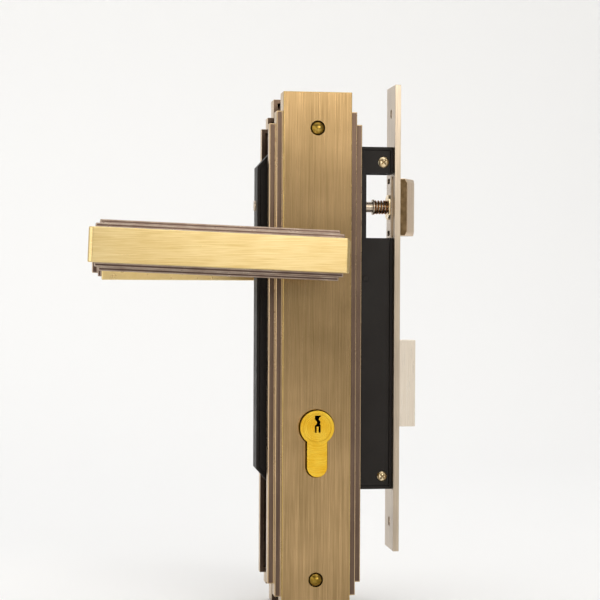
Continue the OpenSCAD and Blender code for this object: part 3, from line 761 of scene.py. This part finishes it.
def coil_tree() -> NodeTree:
    """Builds the tree of a coil spring: round wire swept along a helix, its ends closed flat.

    Returns:
        The tree.
    """
    tree = NodeTree("coil_spring", {
        "Radius": ("NodeSocketFloat", 3.0 * MM), "Wire": ("NodeSocketFloat", 0.4 * MM),
        "Length": ("NodeSocketFloat", 7.0 * MM), "Turns": ("NodeSocketFloat", 5.0),
        "Steps": ("NodeSocketInt", 24), "Sides": ("NodeSocketInt", 8),
    })
    group = tree.group
    rise = tree.maths("SUBTRACT", tree.size("Length"), tree.maths("MULTIPLY", tree.size("Wire"), 2.0))
    helix = add_node(group, "GeometryNodeCurveSpiral", {
        "Resolution": tree.size("Steps"), "Rotations": tree.size("Turns"),
        "Start Radius": tree.size("Radius"), "End Radius": tree.size("Radius"), "Height": rise,
    })
    # The wire keeps level for the first and last part of the coil, as a ground end does
    place = add_node(group, "GeometryNodeInputPosition")
    split = add_node(group, "ShaderNodeSeparateXYZ", {0: place.outputs[0]})
    level = add_node(group, "ShaderNodeMapRange", {
        "Value": add_node(group, "GeometryNodeSplineParameter").outputs["Factor"],
        "From Min": GROUND_END, "From Max": 1 - GROUND_END, "To Min": 0.0, "To Max": rise,
    })
    height = tree.maths("ADD", level.outputs["Result"], tree.size("Wire"))
    moved = add_node(group, "ShaderNodeCombineXYZ", {0: split.outputs[0], 1: split.outputs[1], 2: height})
    shaped = add_node(group, "GeometryNodeSetPosition", {
        "Geometry": helix.outputs[0], "Position": moved.outputs[0],
    })
    wire = add_node(group, "GeometryNodeCurvePrimitiveCircle", {
        "Resolution": tree.size("Sides"), "Radius": tree.size("Wire"),
    })
    swept = add_node(group, "GeometryNodeCurveToMesh", {
        "Curve": shaped.outputs[0], "Profile Curve": wire.outputs[0], "Fill Caps": True,
    })
    tree.close(swept.outputs[0])
    return tree


def pin_tree() -> NodeTree:
    """Builds the tree of a turned pin: a round bar with a chamfer at each end.

    Returns:
        The tree.
    """
    tree = NodeTree("turned_pin", {
        "Radius": ("NodeSocketFloat", 1.4 * MM), "Length": ("NodeSocketFloat", 5.0 * MM),
        "Chamfer": ("NodeSocketFloat", 0.3 * MM), "Sides": ("NodeSocketInt", 24),
    })
    group = tree.group
    line = add_node(group, "GeometryNodeCurvePrimitiveLine")
    four = add_node(group, "GeometryNodeResampleCurve", {"Curve": line.outputs[0], "Count": 4})
    index = add_node(group, "GeometryNodeInputIndex").outputs[0]
    upper = tree.maths("GREATER_THAN", index, 1.5)
    inner = tree.maths("LESS_THAN", tree.maths("ABSOLUTE", tree.maths("SUBTRACT", index, 1.5), 0.0), 1.0)
    inset = tree.maths("MULTIPLY", inner, tree.size("Chamfer"))
    sign = tree.maths("SUBTRACT", 1.0, tree.maths("MULTIPLY", upper, 2.0))
    height = tree.maths(
        "ADD", tree.maths("MULTIPLY", upper, tree.size("Length")), tree.maths("MULTIPLY", inset, sign)
    )
    moved = add_node(group, "ShaderNodeCombineXYZ", {2: height})
    shaped = add_node(group, "GeometryNodeSetPosition", {
        "Geometry": four.outputs[0], "Position": moved.outputs[0],
    })
    slim = tree.maths("SUBTRACT", tree.size("Radius"), tree.maths(
        "MULTIPLY", tree.maths("SUBTRACT", 1.0, inner), tree.size("Chamfer")
    ))
    ring = add_node(group, "GeometryNodeCurvePrimitiveCircle", {
        "Resolution": tree.size("Sides"), "Radius": 1.0,
    })
    swept = add_node(group, "GeometryNodeCurveToMesh", {
        "Curve": shaped.outputs[0], "Profile Curve": ring.outputs[0], "Scale": slim, "Fill Caps": True,
    })
    tree.close(swept.outputs[0])
    return tree


# ---------------------------------------------------------------- sub-assemblies


class Springs:
    """The coil springs and turned pins, each made by a tree and placed on its CAD solids."""

    def __init__(self) -> None:
        """Builds the two trees."""
        self.coil = coil_tree()
        self.pin = pin_tree()

    def along(
        self, axis: Axis, node: str, name: str, wire_mm: float, turns: float,
        material: bpy.types.Material,
    ) -> bpy.types.Object:
        """Makes a level coil in the box of its node.

        Args:
            axis: The coil's axis, X or Y.
            node: The CAD node.
            name: The new piece's name.
            wire_mm: The wire's radius.
            turns: The number of turns.
            material: The finish.

        Returns:
            The coil.
        """
        low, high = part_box(node)
        wire = wire_mm * MM
        sizes = {
            "Radius": (high.z - low.z) / 2 - wire, "Wire": wire,
            "Length": high[axis.value] - low[axis.value], "Turns": turns,
        }
        start = (low + high) / 2
        start[axis.value] = low[axis.value]
        turn = (0.0, math.pi / 2, 0.0) if axis is Axis.X else (-math.pi / 2, 0.0, 0.0)
        return self.coil.make(node, name, [start], sizes, turn, material)

    def stacks(
        self, node: str, name: str, wire_mm: float, turns: float, material: bpy.types.Material
    ) -> None:
        """Makes one upright coil in the box of each of a node's solids.

        Args:
            node: The CAD node.
            name: The new piece's name.
            wire_mm: The wire's radius.
            turns: The number of turns.
            material: The finish.
        """
        boxes = solids(node)
        low, high = boxes[0]
        wire = wire_mm * MM
        sizes = {
            "Radius": (high.x - low.x) / 2 - wire, "Wire": wire, "Length": high.z - low.z, "Turns": turns,
            "Steps": 14, "Sides": 6,
        }
        starts = [Vector(((a.x + b.x) / 2, (a.y + b.y) / 2, a.z)) for a, b in boxes]
        self.coil.make(node, name, starts, sizes, (0.0, 0.0, 0.0), material)

    def pins(self, node: str, name: str, chamfer_mm: float, material: bpy.types.Material) -> None:
        """Makes one upright pin in the box of each of a node's solids.

        Args:
            node: The CAD node.
            name: The new piece's name.
            chamfer_mm: How far each end is turned down.
            material: The finish.
        """
        boxes = solids(node)
        low, high = boxes[0]
        sizes = {
            "Radius": (high.x - low.x) / 2, "Length": high.z - low.z, "Chamfer": chamfer_mm * MM,
        }
        starts = [Vector(((a.x + b.x) / 2, (a.y + b.y) / 2, a.z)) for a, b in boxes]
        self.pin.make(node, name, starts, sizes, (0.0, 0.0, 0.0), material)


@dataclass
class Backplates:
    """The two stepped backplates, their bushes and the through bolts."""

    finishes: Finishes
    springs: Springs
    tier_round_mm: float = 0.45
    rim_round_mm: float = 0.15
    # Half of the width of the band that holds the bush, the cylinder and the bolts
    core_mm: float = 14.0
    door_clear_mm: float = 0.5
    face_depth_mm: float = 0.3
    level_mm: float = 2.0
    bush_round_mm: float = 0.2
    dome_round_mm: float = 0.12

    def plate(self, side: str) -> None:
        """Builds one plate.

        Args:
            side: The side's name, front or rear.
        """
        low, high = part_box(f"{side}_plate")
        sign = -1 if side == "front" else 1
        face_y = max(abs(low.y), abs(high.y))
        door_y = min(abs(low.y), abs(high.y))
        axis_x = (low.x + high.x) / 2

        def is_tier_edge(edge: bmesh.types.BMEdge) -> bool:
            """Takes the tiers' own edges and leaves the openings and the seat."""
            return all(
                abs(v.co.x - axis_x) > self.core_mm * MM and abs(v.co.y) > door_y + self.door_clear_mm * MM
                for v in edge.verts
            )

        def pick(middle: Vector, normal: Vector, kind: Face) -> int:
            """Chooses the finish: brushed face, toned tread, painted corner shade, or rubbed edge lightened
            as a painted highlight.

            Args:
                middle: The face's middle.
                normal: The face's normal.
                kind: What the face is.

            Returns:
                The finish's slot.
            """
            depth = face_y - abs(middle.y)
            # Rounded inner corners take the near-black finish, painted shade
            if kind is Face.ROOT:
                return 2
            if kind is Face.FLAT and normal.y * sign > 0.9:
                return 0 if depth < self.face_depth_mm * MM else 1
            if kind is Face.FLAT and normal.y * sign < -0.3:
                return 1
            # Sides and rounded edges outside the core take the paler edge finishes, painted highlight
            outside = abs(middle.x - axis_x) > self.core_mm * MM or kind is Face.EDGE
            if depth < self.level_mm * MM and outside:
                return 4
            return 3 if outside else 1

        f = self.finishes
        soften(
            f"{side}_plate", f"{side}_backplate",
            [f.plate_face, f.plate_tread, f.plate_root_shade, f.rubbed_edge_highlight, f.face_edge_highlight],
            [
                Round(self.tier_round_mm, 3, is_tier_edge, clamp=False),
                Round(self.rim_round_mm, 2, everywhere),
            ],
            pick,
        )

    def build(self) -> None:
        """Builds and dresses both plates and what holds them."""
        for side in ("front", "rear"):
            self.plate(side)
            soften(f"{side}_bush", f"{side}_lever_bush", [self.finishes.nylon], self.bush_round_mm)
        soften("sleeve_nuts", "domed_sleeve_nuts", [self.finishes.dome], self.dome_round_mm)
        soften("through_screws", "domed_through_screws", [self.finishes.dome], self.dome_round_mm)


@dataclass
class LeverHandles:
    """The two levers on their spindle, with what holds and returns them."""

    finishes: Finishes
    springs: Springs
    end_round_mm: float = 2.2
    tier_round_mm: float = 0.55
    small_round_mm: float = 0.2
    face_depth_mm: float = 0.3
    # How deep the outer tier and the whole grip go from the lever's face
    outer_depth_mm: float = 3.2
    grip_depth_mm: float = 11.2
    # Below this depth the inner tier's rim takes the pale gold of the face's edges, as a painted highlight
    highlight_rim_mm: float = 9.3
    # An upright edge is longer than this, and the heel's corner is this near the end
    upright_mm: float = 10.0
    heel_mm: float = 3.0
    coil_wire_mm: float = 0.7
    coil_turns: float = 3.5
    screw_round_mm: float = 0.12
    circlip_round_mm: float = 0.1
    spindle_round_mm: float = 0.3
    follower_round_mm: float = 0.25

    def lever(self, side: str) -> None:
        """Builds one lever.

        Args:
            side: The side's name, front or rear.
        """
        low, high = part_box(f"{side}_lever")
        face_y = max(abs(low.y), abs(high.y))
        middle_z = sum(corner.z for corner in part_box("spindle")) / 2

        def is_grip(edge: bmesh.types.BMEdge) -> bool:
            """Takes the edges of the grip and leaves the neck and shank."""
            return all(abs(v.co.y) > face_y - self.grip_depth_mm * MM for v in edge.verts)

        def is_end(edge: bmesh.types.BMEdge) -> bool:
            """Takes the upright edges at both ends of the face and the heel's upper corner.

            Args:
                edge: An edge of the piece.

            Returns:
                True for an edge to round.
            """
            a, b = (v.co for v in edge.verts)
            upright = abs(a.z - b.z) > self.upright_mm * MM and (
                min(abs(a.y), abs(b.y)) > face_y - self.face_depth_mm * MM
            )
            corner = (
                abs(a.y - b.y) > self.outer_depth_mm * MM and max(abs(a.y), abs(b.y)) > face_y - 0.1 * MM
                and min(a.x, b.x) > high.x - self.heel_mm * MM and a.z > middle_z
            )
            return upright or corner

        def pick(middle: Vector, normal: Vector, kind: Face) -> int:
            """Chooses the finish by tier: gold face and sides, toned treads, rims lightened as a painted
            highlight, inner corners darkened as painted shade.

            Args:
                middle: The face's middle.
                normal: The face's normal.
                kind: What the face is.

            Returns:
                The finish's slot.
            """
            depth = face_y - abs(middle.y)
            if depth > self.grip_depth_mm * MM - 0.1 * MM and kind is not Face.EDGE:
                return 0
            if depth < self.outer_depth_mm * MM:
                return 1 if kind is Face.EDGE and abs(normal.z) > 0.3 else 0
            # Rounded inner corners take the near-black finish, painted shade
            if kind is Face.ROOT:
                return 4
            if depth > self.highlight_rim_mm * MM:
                return 1
            if kind is Face.FLAT:
                return 2
            return 3

        f = self.finishes
        soften(
            f"{side}_lever", f"{side}_lever_handle",
            [f.lever_face, f.lever_edge_highlight, f.lever_tread, f.lever_rim_highlight, f.lever_root_shade],
            [
                Round(self.end_round_mm, 4, is_end, clamp=False),
                Round(self.tier_round_mm, 3, is_grip, clamp=False),
                Round(self.small_round_mm, 2, everywhere),
            ],
            pick,
        )

    def build(self) -> None:
        """Builds and dresses both levers and the parts that turn with them."""
        f = self.finishes
        for side in ("front", "rear"):
            self.lever(side)
            soften(f"{side}_grub_screw", f"{side}_set_screw", [f.steel], self.screw_round_mm)
            soften(f"{side}_spring_cam", f"{side}_return_cam", [f.steel], self.small_round_mm)
            soften(f"{side}_circlip", f"{side}_shank_circlip", [f.spring], self.circlip_round_mm)
            self.springs.along(
                Axis.Y, f"{side}_lever_spring", f"{side}_return_coil", self.coil_wire_mm,
                self.coil_turns, f.spring,
            )
        soften("spindle", "square_spindle", [f.steel], self.spindle_round_mm)
        soften("follower", "latch_follower", [f.steel], self.follower_round_mm)


@dataclass
class LockCase:
    """The powder coated case with its lid, fastenings and inner fittings."""

    finishes: Finishes
    springs: Springs
    sheet_round_mm: float = 0.25
    small_round_mm: float = 0.12
    leaf_round_mm: float = 0.06
    # The recess's walls start above the first depth, and its floor lies below the second
    screw_top_mm: float = 1.3
    screw_floor_mm: float = 0.8

    def build(self) -> None:
        """Builds and dresses the case and the forend."""
        f = self.finishes
        soften("case_tray", "powder_coated_tray", [f.powder], self.sheet_round_mm)
        soften("case_lid", "powder_coated_lid", [f.powder], self.sheet_round_mm)
        soften("case_rivet", "lid_rivet", [f.powder], self.small_round_mm)
        outer_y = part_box("case_screws")[0].y

        def recessed(middle: Vector, normal: Vector, kind: Face) -> int:
            """Gives the cross recess a darker finish than the head, as painted shade.

            Args:
                middle: The face's middle.
                normal: The face's normal.
                kind: What the face is.

            Returns:
                The finish's slot.
            """
            wall = kind is Face.FLAT and abs(normal.y) < 0.2
            inward = wall and middle.y < outer_y + self.screw_top_mm * MM
            level = kind is Face.FLAT and normal.y < -0.99
            floor = level and middle.y > outer_y + self.screw_floor_mm * MM
            return 1 if inward or floor else 0

        soften("case_screws", "lid_screws", [f.yellow_zinc, f.recess], self.small_round_mm, recessed)
        soften("forend", "forend_plate", [f.nickel], self.sheet_round_mm)
        soften("forend_rivets", "forend_rivet_heads", [f.nickel], self.small_round_mm)
        for node, name in (
            ("case_posts", "lid_posts"), ("latch_guide", "latch_rod_guide"),
            ("bolt_guide_pins", "tail_guide_studs"), ("detent_anchor", "leaf_anchor_stud"),
        ):
            soften(node, name, [f.steel], self.small_round_mm)
        soften("bolt_detent_spring", "detent_leaf", [f.spring], self.leaf_round_mm)


@dataclass
class Bolts:
    """The sprung latch and the deadbolt."""

    finishes: Finishes
    springs: Springs
    head_round_mm: float = 0.3
    small_round_mm: float = 0.15
    rivet_round_mm: float = 0.1
    buffer_wire_mm: float = 0.5
    buffer_turns: float = 4.5
    return_wire_mm: float = 0.45
    return_turns: float = 10.0

    def return_coil(self) -> None:
        """Builds the latch's return coil, which in the lock shortens as the latch is drawn back, and gives
        it a mesh of its own.
        """
        node = "latch_return_spring"
        coil = self.springs.along(
            Axis.X, node, "latch_return_coil", self.return_wire_mm, self.return_turns,
            self.finishes.spring,
        )
        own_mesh(coil)

    def build(self) -> None:
        """Builds and dresses both bolts."""
        f = self.finishes

        def slope(_middle: Vector, normal: Vector, kind: Face) -> int:
            """Gives the slope and every rounded edge the pale copy, painted light; the other faces keep the
            dark copy, painted shade.
            """
            return 1 if normal.x > 0.3 and normal.y < 0.5 or kind is Face.EDGE else 0

        soften("latch_head", "bevelled_latch_head", [f.latch_side_shade, f.latch_slope_light], self.head_round_mm, slope)
        soften("latch_flange", "latch_head_flange", [f.nickel], self.small_round_mm)
        soften("latch_collar", "latch_rod_collar", [f.yellow_zinc], self.small_round_mm)
        soften("latch_ring", "latch_rod_ring", [f.nickel], self.small_round_mm)
        soften("latch_rod", "polished_latch_rod", [f.nickel], self.head_round_mm)
        soften("latch_yoke", "latch_rod_yoke", [f.steel], self.small_round_mm)
        self.springs.along(
            Axis.X, "latch_head_spring", "latch_buffer_coil", self.buffer_wire_mm, self.buffer_turns,
            f.bronze,
        )
        self.return_coil()
        soften("bolt_head", "deadbolt_head", [f.bolt], self.head_round_mm)
        soften("bolt_tail", "deadbolt_tail", [f.steel], self.small_round_mm)
        soften("bolt_rivets", "deadbolt_rivets", [f.steel], self.rivet_round_mm)


@dataclass
class EuroCylinder:
    """The double euro-profile cylinder with its plugs, pins and cam."""

    finishes: Finishes
    springs: Springs
    body_round_mm: float = 0.3
    plug_round_mm: float = 0.15
    clip_round_mm: float = 0.08
    pin_chamfer_mm: float = 0.3
    key_pin_chamfer_mm: float = 0.7
    pin_wire_mm: float = 0.3
    pin_turns: float = 7.0
    # Walls this near the plug's axis, and this far above its foot, belong to the keyway
    keyway_half_mm: float = 4.5
    plug_foot_mm: float = 3.0

    def build(self) -> None:
        """Builds and dresses the cylinder."""
        f = self.finishes
        soften("cylinder_body", "profile_cylinder_body", [f.brass], self.body_round_mm)
        low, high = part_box("front_plug")
        middle = (low + high) / 2

        def inside(place: Vector, normal: Vector, kind: Face) -> int:
            """Gives the walls of the keyway a near-black finish, painted shade.

            Args:
                place: The face's middle.
                normal: The face's normal.
                kind: What the face is.

            Returns:
                The finish's slot.
            """
            near = abs(place.x - middle.x) < self.keyway_half_mm * MM
            above = place.z > low.z + self.plug_foot_mm * MM
            return 1 if near and above and kind is Face.FLAT and abs(normal.y) < 0.3 else 0

        for side in ("front", "rear"):
            soften(f"{side}_plug", f"{side}_key_plug", [f.brass, f.keyway], self.plug_round_mm, inside)
            self.springs.pins(f"{side}_key_pins", f"{side}_key_pin_row", self.key_pin_chamfer_mm, f.bronze)
            soften(f"{side}_plug_clip", f"{side}_plug_retainer", [f.spring], self.clip_round_mm)
        self.springs.pins("driver_pins", "driver_pin_rows", self.pin_chamfer_mm, f.bronze)
        self.springs.stacks("pin_springs", "pin_coil_rows", self.pin_wire_mm, self.pin_turns, f.spring)
        soften("cylinder_screw", "cylinder_fixing_screw", [f.steel], self.plug_round_mm)
        soften("cam", "cylinder_cam", [f.steel], self.body_round_mm)
        soften("clutch", "cam_clutch", [f.bronze], self.plug_round_mm)


# ---------------------------------------------------------------- stage


@dataclass
class Studio:
    """A pale cove, soft lights and the camera."""

    camera_place: tuple[float, float, float] = (-0.1683, -0.842, 0.0186)
    yaw_deg: float = 8.0
    pitch_deg: float = -0.64
    roll_deg: float = 0.27
    lens_mm: float = 99.6
    sensor_mm: float = 36.0
    floor_gap: float = 0.5 * MM
    wall_y: float = 1.1
    cove_radius: float = 0.5
    cove_steps: int = 16
    half_width: float = 3.0
    near_y: float = -1.5
    height: float = 3.0
    sky_strength: float = 0.3
    lights: list[tuple[str, tuple[float, float, float], tuple[float, float], float, str]] = field(
        default_factory=lambda: [
            ("front_softbox", (0.55, -1.7, 0.68), (1.5, 0.8), 14.0, "fffaf0"),
            ("low_softbox", (0.1, -1.3, -0.62), (1.2, 0.3), 6.0, "fffaf4"),
            ("left_softbox", (-1.6, -0.35, 0.3), (1.4, 1.2), 7.0, "ffffff"),
            ("corner_softbox", (-1.1, -1.25, 0.25), (1.1, 0.9), 4.5, "fffaf0"),
            ("top_softbox", (0.0, 0.2, 1.5), (2.2, 1.6), 18.0, "ffffff"),
        ]
    )

    def cove(self) -> None:
        """Builds the floor and back wall in one sweep."""
        low, _ = CAD_BOX
        floor_z = low.z - self.floor_gap
        profile = [(self.near_y, floor_z), (self.wall_y - self.cove_radius, floor_z)]
        for i in range(1, self.cove_steps + 1):
            angle = math.pi / 2 * i / self.cove_steps
            profile.append((
                self.wall_y - self.cove_radius + self.cove_radius * math.sin(angle),
                floor_z + self.cove_radius * (1 - math.cos(angle)),
            ))
        profile.append((self.wall_y, self.height))
        verts = [(x, y, z) for x in (-self.half_width, self.half_width) for y, z in profile]
        n = len(profile)
        faces = [(i, i + n, i + n + 1, i + 1) for i in range(n - 1)]
        mesh = bpy.data.meshes.new("studio_cove")
        mesh.from_pydata(verts, [], faces)
        for polygon in mesh.polygons:
            polygon.use_smooth = True
        cove = bpy.data.objects.new("studio_cove", mesh)
        bpy.context.scene.collection.objects.link(cove)
        material, tree = new_material("pale_paper")
        close_material(tree, add_node(
            tree, "ShaderNodeBsdfPrincipled", {"Base Color": linear("f2f2f2"), "Roughness": 0.9}
        ))
        mesh.materials.append(material)

    def shine(self) -> None:
        """Builds the lights and the world."""
        low, high = CAD_BOX
        aim = (low + high) / 2
        for name, place, size, power, colour in self.lights:
            lamp = bpy.data.lights.new(name, "AREA")
            lamp.shape = "RECTANGLE"
            lamp.size, lamp.size_y = size
            lamp.energy = power
            lamp.color = linear(colour)[:3]
            holder = bpy.data.objects.new(name, lamp)
            holder.location = place
            holder.rotation_euler = (aim - Vector(place)).to_track_quat("-Z", "Y").to_euler()
            bpy.context.scene.collection.objects.link(holder)
        world = bpy.data.worlds.new("studio_world")
        bpy.context.scene.world = world
        world.use_nodes = True
        sky = world.node_tree.nodes["Background"]
        sky.inputs["Color"].default_value = (1.0, 1.0, 1.0, 1.0)
        sky.inputs["Strength"].default_value = self.sky_strength

    def camera(self) -> None:
        """Builds the camera from its yaw, pitch and roll."""
        yaw, pitch, roll = (math.radians(a) for a in (self.yaw_deg, self.pitch_deg, self.roll_deg))
        ahead = Vector((
            math.sin(yaw) * math.cos(pitch), math.cos(yaw) * math.cos(pitch), math.sin(pitch)
        ))
        level = Vector((math.cos(yaw), -math.sin(yaw), 0.0))
        rise = level.cross(ahead)
        right = level * math.cos(roll) + rise * math.sin(roll)
        up = rise * math.cos(roll) - level * math.sin(roll)
        turn = Matrix((right, up, -ahead)).transposed().to_4x4()
        data = bpy.data.cameras.new("studio_camera")
        data.lens = self.lens_mm
        data.sensor_width = self.sensor_mm
        holder = bpy.data.objects.new("studio_camera", data)
        holder.matrix_world = Matrix.Translation(self.camera_place) @ turn
        bpy.context.scene.collection.objects.link(holder)
        bpy.context.scene.camera = holder

    def build(self) -> None:
        """Builds the whole stage."""
        self.camera()
        self.cove()
        self.shine()
        bpy.context.scene.view_settings.view_transform = "Standard"


def main() -> None:
    """Builds the stage and every sub-assembly, in order."""
    logging.basicConfig(level=logging.INFO, format="%(message)s")
    Studio().build()
    finishes = Finishes()
    springs = Springs()
    for part in (Backplates, LeverHandles, LockCase, Bolts, EuroCylinder):
        part(finishes, springs).build()
        LOG.info("%s done", part.__name__)


if __name__ == "__main__":
    main()
